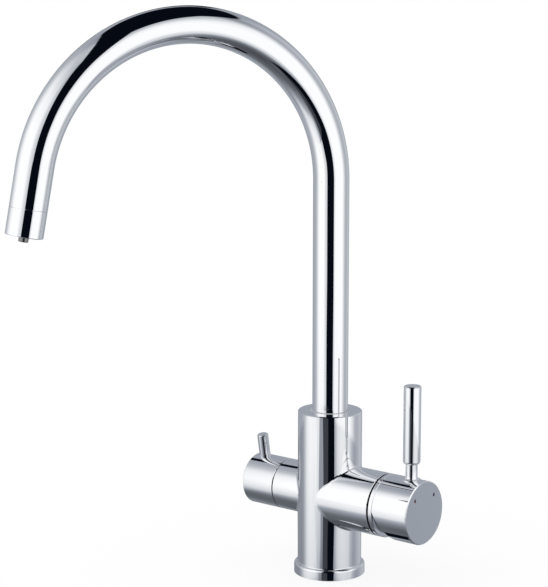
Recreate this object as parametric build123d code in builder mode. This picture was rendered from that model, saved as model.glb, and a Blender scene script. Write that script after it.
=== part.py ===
from build123d import *

import math
import os

# Three way kitchen tap: mixed hot and cold water, and filtered water through its own pipe and nozzle.
# Millimetres. Z is up from the deck, the user stands at -Y, the mixer is at +X and the filter valve at -X.

# ---- Driving dimensions ----------------------------------------------------------------------------
# Body and foot
body_diameter = 45.0
body_height = 117.0
body_edge = 0.6
seam_edge = 0.25
base_ring_step = 2.5
base_ring_height = 7.6
base_ring_edge = 2.0
spigot_diameter = 40.0
spigot_height = 3.0
base_seal_land = 1.5
base_seal_width = 2.4
base_seal_depth = 1.6
branch_height = 57.1

# Water inlets and fixing stud in the underside
inlet_thread = 10.0
inlet_depth = 14.0
waterway = 7.0
waterway_end = 0.5
hot_inlet_x = 7.5
hot_inlet_y = 8.0
filter_inlet_x = -11.0
filter_inlet_y = 6.0
stud_thread = 8.0
stud_depth = 18.0
stud_x = -8.0
stud_y = -10.0
chamber_rise = 4.9
chamber_diameter = 17.0
pure_way_diameter = 3.4
barb_well_diameter = 4.4

# Spout
spout_diameter = 25.0
spout_wall = 1.2
spout_rise = 279.0
spout_bend = 108.0
spout_sweep = 169.4
spout_tail = 45.0
spout_turn = 24.4
collar_length = 18.0
collar_seam = 0.2
spout_depth = 22.0
socket_diameter = 22.0
ferrule_flange = 2.0
ferrule_bore = 15.0
ferrule_tongue = 10.0
wear_ring_width = 1.5
wear_ring_height = 3.2
retainer_land = 1.0
retainer_groove = 4.0
retainer_groove_depth = 1.5
retainer_thread = 5.0
retainer_recess = 1.2
hex_socket_depth = 2.5
swivel_seal = 1.8
swivel_seal_squeeze = 0.3
swivel_seal_land = 2.0
swivel_seal_count = 2
pure_pipe_diameter = 7.0
pure_pipe_bore = 5.0
barb_hex = 8.4
barb_flange = 2.0
barb_length = 14.0

# Outlet
aerator_depth = 9.0
aerator_recess = 2.5
jet_diameter = 1.5
inner_jets = 14
outer_jets = 20
nozzle_diameter = 6.6
nozzle_bore = 3.6
nozzle_reach = 3.6
nozzle_stem = 8.0
nozzle_edge = 0.4
collar_edge = 0.4
collar_spigot = 6.0
collar_wall = 1.7
collar_ledge = 1.2

# Mixer branch, its cover ring and the cartridge
mixer_wall = 4.6
mixer_face = 48.35
cover_gap = 1.4
cover_band = 2.95
cover_wall = 1.8
cover_mouth_gap = 1.1
cover_thread_land = 1.2
cap_wall = 2.3
cartridge_diameter = 35.0
cartridge_base_height = 4.0
fixed_disc_height = 4.0
moving_disc_height = 3.4
moving_disc_gap = 0.5
mixing_window_length = 13.0
mixing_window_width = 7.0
mixing_window_drop = 1.0
driver_height = 4.2
driver_floor = 1.0
driver_socket_gap = 0.15
disc_room_wall = 1.8
carrier_diameter = 23.0
carrier_flange = 2.2
neck_wall = 2.4
neck_length = 10.8
port_offset_y = 8.0
port_drop = 6.0
port_rise = 9.0
port_diameter = 6.4
port_seal = 1.6
nut_length = 6.6
nut_wall = 1.4
nut_thread_length = 3.85
nut_slot = 3.0
nut_slot_depth = 2.0
nut_slots = 6

# Lever
pivot_reach = 6.0
lever_lift = 24.0
pivot_pin_diameter = 3.0
pivot_pin_inset = 1.2
spindle_square = 8.0
spindle_hub = 5.0
spindle_reach = 24.5
ball_arm = 11.0
ball_diameter = 4.8
ball_arm_diameter = 4.0
carrier_slot_gap = 0.5
carrier_slot_half_length = 7.2
cap_gap = 0.3
cap_length = 28.4
cap_edge = 0.7
cap_boss_wall = 1.25
cap_boss_reach = 12.5
cap_wedge_start = 0.5
cap_wedge_margin = 4.0
lever_inset = 11.0
neck_diameter = 8.2
neck_flare = 2.2
neck_thread = 6.0
neck_thread_depth = 7.5
grip_thread_depth = 8.0
grip_diameter = 12.0
neck_height = 10.6
grip_length = 54.6
grip_foot_round = 2.4
grip_edge = 0.6
mark_inset = 6.5
mark_angle = 45.0
mark_width = 2.2
mark_height = 3.0
mark_depth = 0.3
grub_inset = 2.0
grub_thread = 5.0
grub_length = 8.0
plug_diameter = 6.2
plug_height = 2.0
plug_recess = 0.5

# Filtered water valve
filter_diameter = 36.1
filter_seam = 0.5
knob_end_wall = 4.6
knob_edge = 0.8
knob_wall = 3.55
knob_bore_gap = 1.5
knob_socket_length = 9.5
knob_turn = 10.0
pin_inset = 4.8
pin_diameter = 7.9
pin_height = 17.15
pin_edge = 0.5
pin_thread = 5.0
pin_thread_gap = 2.0
knob_grub_thread = 4.0
knob_grub_length = 6.0
headwork_thread = 18.0
headwork_seat_wall = 1.7
headwork_nose_length = 8.8
headwork_nose_step = 0.6
headwork_thread_length = 4.0
headwork_hex = 21.0
headwork_hex_height = 5.0
headwork_neck = 14.0
headwork_neck_length = 8.0
spanner_room_depth = 0.7
headwork_window_length = 3.4
headwork_window_width = 2.4
valve_disc_diameter = 14.0
valve_disc_height = 2.5
valve_disc_recess = 1.0
valve_port_circle = 3.8
valve_port_diameter = 4.6
valve_foot_height = 3.4
valve_foot_web = 1.2
valve_foot_slot = 4.4
valve_spindle = 8.0
valve_room_diameter = 22.0
valve_seal = 1.6

# Named clearances, each one the radial or face gap between two pieces
running = 0.05
fixed_fit = 0.02
loose = 0.3
flat_gap = 0.05

# How far a cut runs past the surface that it breaks through
overcut = 1.0

# ---- Places that follow from the driving dimensions ---------------------------------------------------
body_radius = body_diameter / 2
base_ring_radius = body_radius + base_ring_step
base_seal_bore = spigot_diameter + 2 * base_seal_land
spout_radius = spout_diameter / 2
spout_bore_radius = spout_radius - spout_wall
socket_radius = socket_diameter / 2
wear_ring_radius = spout_radius + running + wear_ring_width

# Heights in the spout's socket, from the top of the body down: step, groove, seals, floor and chamber
ferrule_step = body_height - spout_depth
retainer_height = ferrule_step - retainer_land - retainer_groove / 2
seal_pitch = swivel_seal + swivel_seal_land
ferrule_foot = retainer_height - retainer_groove / 2 - swivel_seal_land - swivel_seal_count * seal_pitch
socket_floor = ferrule_foot - loose
chamber_floor = branch_height + chamber_rise

# Mixer branch: outwards from its nut to the cap, then inwards from the pivot to the cartridge's seat
cartridge_radius = cartridge_diameter / 2
cavity_radius = cartridge_radius + loose / 2
nut_radius = cavity_radius + nut_wall
mixer_radius = cartridge_radius + mixer_wall
shoulder_x = mixer_face - nut_thread_length
pivot_x = shoulder_x + pivot_reach
cover_rear = mixer_face + cover_gap
band_front = cover_rear + cover_band
cap_rear = band_front + cap_gap
cap_face = cap_rear + cap_length
cap_boss_start = pivot_x + cap_boss_reach
spindle_tip = pivot_x + spindle_reach
lever_x = cap_face - lever_inset
grub_x = spindle_tip - grub_inset
ball_radius = ball_diameter / 2
moving_disc_front = pivot_x - ball_arm - ball_radius - driver_socket_gap - driver_floor
moving_disc_rear = moving_disc_front - moving_disc_height
fixed_disc_front = moving_disc_rear - flat_gap
base_front = fixed_disc_front - fixed_disc_height
cartridge_seat = base_front - cartridge_base_height

# Filter branch, outwards from the body: headwork, spanner room and knob
filter_radius = filter_diameter / 2
headwork_seat = body_radius + headwork_seat_wall
headwork_nose_end = headwork_seat + headwork_nose_length
headwork_hex_start = headwork_nose_end + headwork_thread_length
headwork_hex_end = headwork_hex_start + headwork_hex_height
headwork_end = headwork_hex_end + headwork_neck_length
filter_face = headwork_hex_start + spanner_room_depth
knob_rear = filter_face + filter_seam
knob_bore = filter_diameter - 2 * knob_wall
knob_bore_end = headwork_end + knob_bore_gap
knob_socket_end = knob_bore_end + knob_socket_length
knob_end = knob_socket_end + knob_end_wall
pin_x = knob_bore_end + pin_inset
pin_reach = filter_radius + pin_height

# ---- Planes and axes -------------------------------------------------------------------------------
branch_axis = Axis((0, 0, branch_height), (1, 0, 0))
pivot_plane = Plane(origin=(pivot_x, 0, branch_height), x_dir=(1, 0, 0), z_dir=(0, 1, 0))
branch_section = Plane(origin=(0, 0, branch_height), x_dir=(1, 0, 0), z_dir=(0, -1, 0))
forward = Vector(math.cos(math.radians(-90 - spout_turn)), math.sin(math.radians(-90 - spout_turn)), 0)
spout_side = forward.cross(Vector(0, 0, 1))
spout_section = Plane(origin=(0, 0, 0), x_dir=forward, z_dir=spout_side)


def mixer_plane(x):
    """A plane across the mixer branch, facing away from the body, with its own Y upright."""
    return Plane(origin=(x, 0, branch_height), x_dir=(0, 1, 0), z_dir=(1, 0, 0))


def filter_plane(x):
    """A plane across the filter branch, facing away from the body, with its own Y upright."""
    return Plane(origin=(-x, 0, branch_height), x_dir=(0, -1, 0), z_dir=(-1, 0, 0))


def lever_plane(rise):
    """A level plane at the lever's rod, that far above the middle of the mixer branch."""
    return Plane(origin=(lever_x, 0, branch_height + rise), x_dir=(1, 0, 0), z_dir=(0, 0, 1))


def deck_plane(height):
    """A level plane at a height above the deck."""
    return Plane.XY.offset(height)


def back_plane(y):
    """A plane across the grub screw at the back of the body, facing away from the user."""
    return Plane(origin=(0, y, retainer_height), x_dir=(1, 0, 0), z_dir=(0, 1, 0))


def finish(piece, name):
    """Names a finished piece and writes it."""
    piece.part.label = name
    export_step(piece.part, "parts/" + name + ".step")


def end_rim(piece, direction):
    """The round edge of a piece that lies furthest along a direction."""
    return piece.edges().filter_by(GeomType.CIRCLE).sort_by(Axis((0, 0, 0), direction))[-1]


os.makedirs("parts", exist_ok=True)

# ---- Body: a brass forging, turned and bored, then polished and plated ------------------------------
chamber_radius = chamber_diameter / 2
pure_way_radius = pure_way_diameter / 2
valve_room_radius = valve_room_diameter / 2
pure_way_height = branch_height - valve_room_radius + pure_way_diameter
feed_height = branch_height - port_drop
feed_top = feed_height + port_diameter / 2 + waterway_end

with BuildPart() as body_casting:
    with BuildSketch(deck_plane(0)):
        Circle(spigot_diameter / 2)
    extrude(amount=spigot_height)
    with BuildSketch(deck_plane(spigot_height)):
        Circle(body_radius)
    extrude(amount=body_height - spigot_height)
    chamfer(body_casting.edges().group_by(Axis.Z)[-1], length=body_edge)
    with BuildSketch(mixer_plane(0)):
        Circle(mixer_radius)
    extrude(amount=mixer_face)
    chamfer(end_rim(body_casting, (1, 0, 0)), length=seam_edge)
    with BuildSketch(filter_plane(0)):
        Circle(filter_radius)
    extrude(amount=filter_face)
    chamfer(end_rim(body_casting, (-1, 0, 0)), length=seam_edge)
    # Socket for the spout, with the wear ring's counterbore at its mouth
    with BuildSketch(deck_plane(body_height)):
        Circle(wear_ring_radius + fixed_fit)
    extrude(amount=-wear_ring_height - flat_gap, mode=Mode.SUBTRACT)
    with BuildSketch(deck_plane(body_height)):
        Circle(spout_radius + loose)
    extrude(amount=ferrule_step - body_height, mode=Mode.SUBTRACT)
    with BuildSketch(deck_plane(ferrule_step)):
        Circle(socket_radius)
    extrude(amount=socket_floor - ferrule_step, mode=Mode.SUBTRACT)
    with BuildSketch(deck_plane(socket_floor)):
        Circle(chamber_radius)
    extrude(amount=chamber_floor - socket_floor, mode=Mode.SUBTRACT)
    # Cartridge cavity and the thread that its nut runs in
    with BuildSketch(mixer_plane(cartridge_seat)):
        Circle(cavity_radius)
    extrude(amount=mixer_face - cartridge_seat, mode=Mode.SUBTRACT)
    with BuildSketch(mixer_plane(shoulder_x)):
        Circle(nut_radius + fixed_fit)
    extrude(amount=mixer_face - shoulder_x, mode=Mode.SUBTRACT)
    # Cavity of the filter valve: inlet well, ring chamber, thread and the room for the spanner
    with BuildSketch(filter_plane(headwork_seat)):
        Circle(valve_room_radius)
    extrude(amount=headwork_nose_end - headwork_seat, mode=Mode.SUBTRACT)
    with BuildSketch(filter_plane(headwork_nose_end)):
        Circle(headwork_thread / 2 + fixed_fit)
    extrude(amount=headwork_hex_start - headwork_nose_end, mode=Mode.SUBTRACT)
    with BuildSketch(filter_plane(headwork_hex_start)):
        Circle(knob_bore / 2)
    extrude(amount=filter_face - headwork_hex_start, mode=Mode.SUBTRACT)
    with BuildSketch(filter_plane(-filter_inlet_x)):
        with Locations((-filter_inlet_y / 2, 0)):
            SlotOverall(filter_inlet_y + port_diameter, port_diameter)
    extrude(amount=headwork_seat + filter_inlet_x, mode=Mode.SUBTRACT)
    # Threaded inlets and the stud in the underside
    with BuildSketch(deck_plane(0)):
        with Locations((hot_inlet_x, -hot_inlet_y), (hot_inlet_x, hot_inlet_y)):
            Circle(inlet_thread / 2)
        with Locations((filter_inlet_x, filter_inlet_y)):
            Circle(inlet_thread / 2)
    extrude(amount=inlet_depth, mode=Mode.SUBTRACT)
    with BuildSketch(deck_plane(0)):
        with Locations((stud_x, stud_y)):
            Circle(stud_thread / 2)
    extrude(amount=stud_depth, mode=Mode.SUBTRACT)
    # Waterways: two feeds up and along to the cartridge, mixed water back, filtered water in and out
    with BuildSketch(deck_plane(inlet_depth)):
        with Locations((hot_inlet_x, -hot_inlet_y), (hot_inlet_x, hot_inlet_y)):
            Circle(waterway / 2)
    extrude(amount=feed_top - inlet_depth, mode=Mode.SUBTRACT)
    with BuildSketch(deck_plane(inlet_depth)):
        with Locations((filter_inlet_x, filter_inlet_y)):
            Circle(waterway / 2)
    extrude(amount=branch_height - inlet_depth, mode=Mode.SUBTRACT)
    with BuildSketch(mixer_plane(cartridge_seat)):
        with Locations((-port_offset_y, -port_drop), (port_offset_y, -port_drop)):
            Circle(port_diameter / 2)
    extrude(amount=hot_inlet_x - cartridge_seat, mode=Mode.SUBTRACT)
    with BuildSketch(mixer_plane(cartridge_seat)):
        with Locations((0, port_rise)):
            Circle(port_diameter / 2)
    extrude(amount=-cartridge_seat + chamber_radius / 2, mode=Mode.SUBTRACT)
    with BuildSketch(filter_plane(headwork_seat)):
        with Locations((0, pure_way_height - branch_height)):
            Circle(pure_way_radius)
    extrude(amount=-headwork_seat, mode=Mode.SUBTRACT)
    with BuildSketch(deck_plane(chamber_floor)):
        Circle(barb_well_diameter / 2)
    extrude(amount=pure_way_height - barb_well_diameter / 2 - chamber_floor, mode=Mode.SUBTRACT)
    # Threaded hole for the spout's grub screw, at the back
    with BuildSketch(back_plane(0)):
        Circle(retainer_thread / 2 + fixed_fit)
    extrude(amount=body_radius + overcut, mode=Mode.SUBTRACT)
finish(body_casting, "body_casting")

with BuildPart() as base_ring:
    with BuildSketch(deck_plane(0)):
        Circle(base_ring_radius)
    extrude(amount=base_ring_height)
    fillet(base_ring.edges().group_by(Axis.Z)[-1], radius=base_ring_edge)
    with BuildSketch(deck_plane(0)):
        Circle(spigot_diameter / 2 + fixed_fit)
    extrude(amount=spigot_height, mode=Mode.SUBTRACT)
    with BuildSketch(deck_plane(spigot_height)):
        Circle(body_radius + fixed_fit)
    extrude(amount=base_ring_height - spigot_height, mode=Mode.SUBTRACT)
    with BuildSketch(deck_plane(0)):
        Circle(base_seal_bore / 2 + base_seal_width + fixed_fit)
        Circle(base_seal_bore / 2 - fixed_fit, mode=Mode.SUBTRACT)
    extrude(amount=base_seal_depth, mode=Mode.SUBTRACT)
finish(base_ring, "base_ring")

with BuildPart() as base_seal:
    with BuildSketch(deck_plane(0)):
        Circle(base_seal_bore / 2 + base_seal_width)
        Circle(base_seal_bore / 2, mode=Mode.SUBTRACT)
    extrude(amount=base_seal_depth)
finish(base_seal, "base_seal")

# ---- Spout: a bent brass tube with a turned ferrule at its foot and a collar at its outlet ----------
tube_foot = ferrule_step + ferrule_flange + loose
tail_angle = math.radians(180 - spout_sweep)
bend_reach = spout_bend * (1 + math.cos(tail_angle))
bend_end = Vector(bend_reach, spout_rise + spout_bend * math.sin(tail_angle))
tail_direction = Vector(math.sin(tail_angle), -math.cos(tail_angle))


def tail_point(distance):
    """A point on the spout's centre line, that far past the end of the bend, in the spout's section."""
    return bend_end + tail_direction * distance


def tail_plane(distance):
    """A plane across the straight end of the spout, facing the way the water leaves."""
    origin = spout_section.from_local_coords(tail_point(distance))
    ahead = spout_section.from_local_coords(tail_point(distance + 1)) - origin
    return Plane(origin=origin, x_dir=spout_side, z_dir=ahead)


def centre_line(foot, tail):
    """Draws the spout's centre line from a height in the body to a distance past the end of the bend."""
    rise = Line((0, foot), (0, spout_rise))
    bend = JernArc(start=rise @ 1, tangent=rise % 1, radius=spout_bend, arc_size=-spout_sweep)
    Line(bend @ 1, bend @ 1 + (bend % 1) * tail)


with BuildPart() as spout_tube:
    with BuildLine(spout_section) as tube_line:
        centre_line(tube_foot, spout_tail - collar_length)
    with BuildSketch(deck_plane(tube_foot)):
        Circle(spout_radius)
        Circle(spout_bore_radius, mode=Mode.SUBTRACT)
    sweep(path=tube_line.line)
finish(spout_tube, "spout_tube")

ferrule_radius = socket_radius - running
seal_grooves = [ferrule_foot + swivel_seal_land + n * seal_pitch for n in range(swivel_seal_count)]
groove_floor = ferrule_radius - swivel_seal + swivel_seal_squeeze
retainer_floor = ferrule_radius - retainer_groove_depth

with BuildPart() as swivel_ferrule:
    with BuildSketch(Plane.XZ):
        with BuildLine():
            Polyline(
                (ferrule_bore / 2, ferrule_foot),
                (ferrule_radius, ferrule_foot),
                (ferrule_radius, ferrule_step + loose),
                (spout_radius, ferrule_step + loose),
                (spout_radius, tube_foot),
                (spout_bore_radius - fixed_fit, tube_foot),
                (spout_bore_radius - fixed_fit, tube_foot + ferrule_tongue),
                (ferrule_bore / 2, tube_foot + ferrule_tongue),
                close=True,
            )
        make_face()
    revolve(axis=Axis.Z)
    for groove in seal_grooves:
        with BuildSketch(deck_plane(groove)):
            Circle(ferrule_radius + overcut)
            Circle(groove_floor, mode=Mode.SUBTRACT)
        extrude(amount=swivel_seal + 2 * fixed_fit, mode=Mode.SUBTRACT)
    with BuildSketch(deck_plane(retainer_height - retainer_groove / 2)):
        Circle(ferrule_radius + overcut)
        Circle(retainer_floor, mode=Mode.SUBTRACT)
    extrude(amount=retainer_groove, mode=Mode.SUBTRACT)
finish(swivel_ferrule, "swivel_ferrule")

with BuildPart() as swivel_seals:
    for groove in seal_grooves:
        with BuildSketch(deck_plane(groove + fixed_fit)):
            Circle(socket_radius - fixed_fit)
            Circle(groove_floor + fixed_fit, mode=Mode.SUBTRACT)
        extrude(amount=swivel_seal)
finish(swivel_seals, "swivel_seals")

with BuildPart() as wear_ring:
    with BuildSketch(deck_plane(body_height - wear_ring_height)):
        Circle(wear_ring_radius)
        Circle(spout_radius + running, mode=Mode.SUBTRACT)
    extrude(amount=wear_ring_height - flat_gap)
finish(wear_ring, "wear_ring")

retainer_tip = retainer_floor + loose
retainer_body = socket_radius + loose
retainer_head = body_radius - retainer_recess
with BuildPart() as spout_grub_screw:
    with BuildSketch(back_plane(retainer_tip)):
        Circle(retainer_groove / 2 - loose)
    extrude(amount=retainer_body - retainer_tip)
    with BuildSketch(back_plane(retainer_body)):
        Circle(retainer_thread / 2)
    extrude(amount=retainer_head - retainer_body)
    with BuildSketch(back_plane(retainer_head)):
        RegularPolygon(retainer_thread / 4, 6, major_radius=False)
    extrude(amount=-hex_socket_depth, mode=Mode.SUBTRACT)
finish(spout_grub_screw, "spout_grub_screw")

# The filtered water never meets the mixed water: it has its own barb, pipe and nozzle
barb_radius = pure_pipe_bore / 2 - running
with BuildPart() as pure_water_barb:
    with BuildSketch(deck_plane(chamber_floor)):
        RegularPolygon(barb_hex / 2, 6, major_radius=False)
    extrude(amount=barb_flange)
    with BuildSketch(deck_plane(chamber_floor + barb_flange)):
        Circle(barb_radius)
    extrude(amount=barb_length - barb_flange)
    with BuildSketch(deck_plane(chamber_floor)):
        Circle(pure_way_radius)
    extrude(amount=barb_length, mode=Mode.SUBTRACT)
finish(pure_water_barb, "pure_water_barb")

pipe_start = chamber_floor + barb_flange + loose
with BuildPart() as pure_water_pipe:
    with BuildLine(spout_section) as pipe_line:
        centre_line(pipe_start, spout_tail - aerator_recess - aerator_depth - loose)
    with BuildSketch(deck_plane(pipe_start)):
        Circle(pure_pipe_diameter / 2)
        Circle(pure_pipe_bore / 2, mode=Mode.SUBTRACT)
    sweep(path=pipe_line.line)
finish(pure_water_pipe, "pure_water_pipe")

with BuildPart() as outlet_collar:
    with BuildSketch(tail_plane(spout_tail - collar_length + collar_seam)):
        Circle(spout_radius)
    extrude(amount=collar_length - collar_seam)
    chamfer(end_rim(outlet_collar, tail_plane(spout_tail).z_dir), length=collar_edge)
    with BuildSketch(tail_plane(spout_tail - collar_length + collar_seam)):
        Circle(spout_bore_radius - fixed_fit)
    extrude(amount=-collar_spigot)
    with BuildSketch(tail_plane(spout_tail)):
        Circle(spout_radius - collar_wall)
    extrude(amount=-aerator_recess - aerator_depth, mode=Mode.SUBTRACT)
    with BuildSketch(tail_plane(spout_tail)):
        Circle(spout_radius - collar_wall - collar_ledge)
    extrude(amount=-collar_length - collar_spigot, mode=Mode.SUBTRACT)
finish(outlet_collar, "outlet_collar")

aerator_radius = spout_radius - collar_wall - fixed_fit
inner_jet_circle = nozzle_diameter / 2 + 2 * jet_diameter
outer_jet_circle = aerator_radius - jet_diameter
with BuildPart() as aerator_insert:
    with BuildSketch(tail_plane(spout_tail - aerator_recess)):
        Circle(aerator_radius)
        Circle(nozzle_diameter / 2 + fixed_fit, mode=Mode.SUBTRACT)
        with PolarLocations(inner_jet_circle, inner_jets):
            Circle(jet_diameter / 2, mode=Mode.SUBTRACT)
        with PolarLocations(outer_jet_circle, outer_jets):
            Circle(jet_diameter / 2, mode=Mode.SUBTRACT)
    extrude(amount=-aerator_depth)
finish(aerator_insert, "aerator_insert")

with BuildPart() as pure_water_nozzle:
    with BuildSketch(tail_plane(spout_tail + nozzle_reach)):
        Circle(nozzle_diameter / 2)
    extrude(amount=-nozzle_reach - aerator_recess - aerator_depth + loose)
    chamfer(end_rim(pure_water_nozzle, tail_plane(spout_tail).z_dir), length=nozzle_edge)
    with BuildSketch(tail_plane(spout_tail - aerator_recess - aerator_depth + loose)):
        Circle(barb_radius)
    extrude(amount=-nozzle_stem)
    with BuildSketch(tail_plane(spout_tail + nozzle_reach)):
        Circle(nozzle_bore / 2)
    extrude(amount=-nozzle_reach - aerator_recess - aerator_depth - nozzle_stem, mode=Mode.SUBTRACT)
finish(pure_water_nozzle, "pure_water_nozzle")

# ---- Mixer cartridge ----------------------------------------------------------------------------------
driver_front = moving_disc_front + driver_height
flange_rear = driver_front + loose
flange_front = flange_rear + carrier_flange
disc_room_radius = cartridge_radius - disc_room_wall
disc_slide = ball_arm * math.radians(lever_lift)
moving_disc_radius = disc_room_radius - disc_slide - moving_disc_gap
carrier_radius = carrier_diameter / 2
carrier_slot_width = spindle_square + 2 * carrier_slot_gap
neck_radius = carrier_radius + running + neck_wall
neck_end = shoulder_x + neck_length
ports = ((-port_offset_y, -port_drop), (port_offset_y, -port_drop), (0, port_rise))

with BuildPart() as cartridge_base:
    with BuildSketch(mixer_plane(cartridge_seat)):
        Circle(cartridge_radius)
        with Locations(*ports):
            Circle(port_diameter / 2, mode=Mode.SUBTRACT)
    extrude(amount=cartridge_base_height)
    with BuildSketch(mixer_plane(cartridge_seat)):
        with Locations(*ports):
            Circle(port_diameter / 2 + port_seal + fixed_fit)
    extrude(amount=port_seal, mode=Mode.SUBTRACT)
finish(cartridge_base, "cartridge_base")

with BuildPart() as port_seals:
    with BuildSketch(mixer_plane(cartridge_seat)):
        with Locations(*ports):
            Circle(port_diameter / 2 + port_seal)
        with Locations(*ports):
            Circle(port_diameter / 2, mode=Mode.SUBTRACT)
    extrude(amount=port_seal - fixed_fit)
finish(port_seals, "port_seals")

with BuildPart() as fixed_disc:
    with BuildSketch(mixer_plane(base_front)):
        Circle(disc_room_radius - fixed_fit)
        with Locations(*ports):
            Circle(port_diameter / 2, mode=Mode.SUBTRACT)
    extrude(amount=fixed_disc_height)
finish(fixed_disc, "fixed_disc")

with BuildPart() as cartridge_case:
    with BuildSketch(branch_section):
        with BuildLine():
            Polyline(
                (base_front, disc_room_radius),
                (base_front, cartridge_radius),
                (shoulder_x, cartridge_radius),
                (shoulder_x, neck_radius),
                (neck_end, neck_radius),
                (neck_end, carrier_radius + running),
                (flange_front + loose, carrier_radius + running),
                (flange_front + loose, disc_room_radius),
                close=True,
            )
        make_face()
    revolve(axis=branch_axis)
finish(cartridge_case, "cartridge_case")

with BuildPart() as moving_disc:
    with BuildSketch(mixer_plane(moving_disc_rear)):
        Circle(moving_disc_radius)
        with Locations((0, -mixing_window_drop)):
            SlotOverall(mixing_window_length, mixing_window_width, mode=Mode.SUBTRACT)
    extrude(amount=moving_disc_height)
finish(moving_disc, "moving_disc")

with BuildPart() as disc_driver:
    with BuildSketch(mixer_plane(moving_disc_front)):
        Circle(moving_disc_radius)
    extrude(amount=driver_height)
    with BuildSketch(mixer_plane(driver_front)):
        Circle(ball_radius + loose)
    extrude(amount=driver_floor - driver_height, mode=Mode.SUBTRACT)
finish(disc_driver, "disc_driver")

with BuildPart() as spindle_carrier:
    with BuildSketch(mixer_plane(flange_rear)):
        Circle(disc_room_radius - loose)
    extrude(amount=carrier_flange)
    with BuildSketch(mixer_plane(flange_front)):
        Circle(carrier_radius)
    extrude(amount=neck_end - flange_front)
    with BuildSketch(mixer_plane(flange_rear)):
        Rectangle(carrier_slot_width, 2 * carrier_slot_half_length)
    extrude(amount=neck_end - flange_rear, mode=Mode.SUBTRACT)
    with BuildSketch(pivot_plane):
        Circle(pivot_pin_diameter / 2 + fixed_fit)
    extrude(amount=carrier_radius, both=True, mode=Mode.SUBTRACT)
finish(spindle_carrier, "spindle_carrier")

with BuildPart() as pivot_pin:
    with BuildSketch(pivot_plane):
        Circle(pivot_pin_diameter / 2)
    extrude(amount=carrier_radius - pivot_pin_inset, both=True)
finish(pivot_pin, "pivot_pin")

# One nut holds the cartridge down and carries the cover ring's thread
hollow_radius = mixer_radius - cap_wall
cover_radius = hollow_radius - loose
inner_radius = cover_radius - cover_wall
cover_thread = inner_radius - cover_thread_land
nut_end = shoulder_x + nut_length
with BuildPart() as cartridge_nut:
    with BuildSketch(branch_section):
        with BuildLine():
            Polyline(
                (shoulder_x + flat_gap, neck_radius + loose),
                (shoulder_x + flat_gap, nut_radius),
                (mixer_face, nut_radius),
                (mixer_face, cover_thread),
                (nut_end, cover_thread),
                (nut_end, neck_radius + loose),
                close=True,
            )
        make_face()
    revolve(axis=branch_axis)
    with BuildSketch(mixer_plane(nut_end)):
        with PolarLocations(neck_radius + loose, nut_slots):
            Rectangle(nut_slot, nut_slot)
    extrude(amount=-nut_slot_depth, mode=Mode.SUBTRACT)
finish(cartridge_nut, "cartridge_nut")

# The cover ring is a ball about the lever's pivot, so the cap's hollow slides over it as the lever lifts,
# and its mouth is as wide as the cap's boss needs then
cap_boss = spindle_square / math.sqrt(2) + cap_boss_wall
boss_swing = math.asin(cap_boss / inner_radius) + math.radians(lever_lift)
cover_mouth = inner_radius * math.sin(boss_swing) + cover_mouth_gap
with BuildPart() as cover_ring:
    with BuildSketch(branch_section):
        with BuildLine():
            band_step = math.sqrt(cover_radius**2 - (band_front - pivot_x) ** 2)
            mouth_outer = pivot_x + math.sqrt(cover_radius**2 - cover_mouth**2)
            mouth_inner = pivot_x + math.sqrt(inner_radius**2 - cover_mouth**2)
            thread_front = pivot_x + math.sqrt(inner_radius**2 - (cover_thread + fixed_fit) ** 2)
            Polyline(
                (thread_front, cover_thread + fixed_fit),
                (cover_rear, cover_thread + fixed_fit),
                (cover_rear, mixer_radius - seam_edge),
                (cover_rear + seam_edge, mixer_radius),
                (band_front - seam_edge, mixer_radius),
                (band_front, mixer_radius - seam_edge),
                (band_front, band_step),
            )
            RadiusArc((band_front, band_step), (mouth_outer, cover_mouth), cover_radius)
            Line((mouth_outer, cover_mouth), (mouth_inner, cover_mouth))
            RadiusArc((mouth_inner, cover_mouth), (thread_front, cover_thread + fixed_fit), -inner_radius)
        make_face()
    revolve(axis=branch_axis)
finish(cover_ring, "cover_ring")

# ---- Lever ----------------------------------------------------------------------------------------------
spindle_half = spindle_square / 2
with BuildPart() as lever_spindle:
    with BuildSketch(pivot_plane):
        Circle(spindle_hub)
    extrude(amount=carrier_slot_width / 2 - loose, both=True)
    with BuildSketch(mixer_plane(pivot_x)):
        Rectangle(spindle_square, spindle_square)
    extrude(amount=spindle_tip - pivot_x)
    with BuildSketch(mixer_plane(pivot_x)):
        Circle(ball_arm_diameter / 2)
    extrude(amount=-ball_arm)
    with Locations((pivot_x - ball_arm, 0, branch_height)):
        Sphere(ball_radius)
    with BuildSketch(pivot_plane):
        Circle(pivot_pin_diameter / 2 + running)
    extrude(amount=spindle_hub, both=True, mode=Mode.SUBTRACT)
finish(lever_spindle, "lever_spindle")

grub_seat = spindle_half + flat_gap
under_cap = Plane(origin=(grub_x, 0, branch_height), x_dir=(1, 0, 0), z_dir=(0, 0, -1))


def mark_locations():
    """Places of the two temperature marks on the cap's face: hot towards the user, cold behind."""
    reach = (mixer_radius - mark_inset) * math.sin(math.radians(mark_angle))
    rise = (mixer_radius - mark_inset) * math.cos(math.radians(mark_angle))
    return ((-reach, rise), (reach, rise))


# A water drop, round below and pointed above, centred on its own height
drop_radius = mark_width / 2
drop_centre = drop_radius - mark_height / 2
drop_lean = math.asin(drop_radius / (mark_height / 2 - drop_centre))
drop_side = (drop_radius * math.cos(drop_lean), drop_centre + drop_radius * math.sin(drop_lean))
with BuildSketch() as water_drop:
    with BuildLine():
        Line((0, mark_height / 2), drop_side)
        ThreePointArc(drop_side, (0, drop_centre - drop_radius), (-drop_side[0], drop_side[1]))
        Line((-drop_side[0], drop_side[1]), (0, mark_height / 2))
    make_face()

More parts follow.
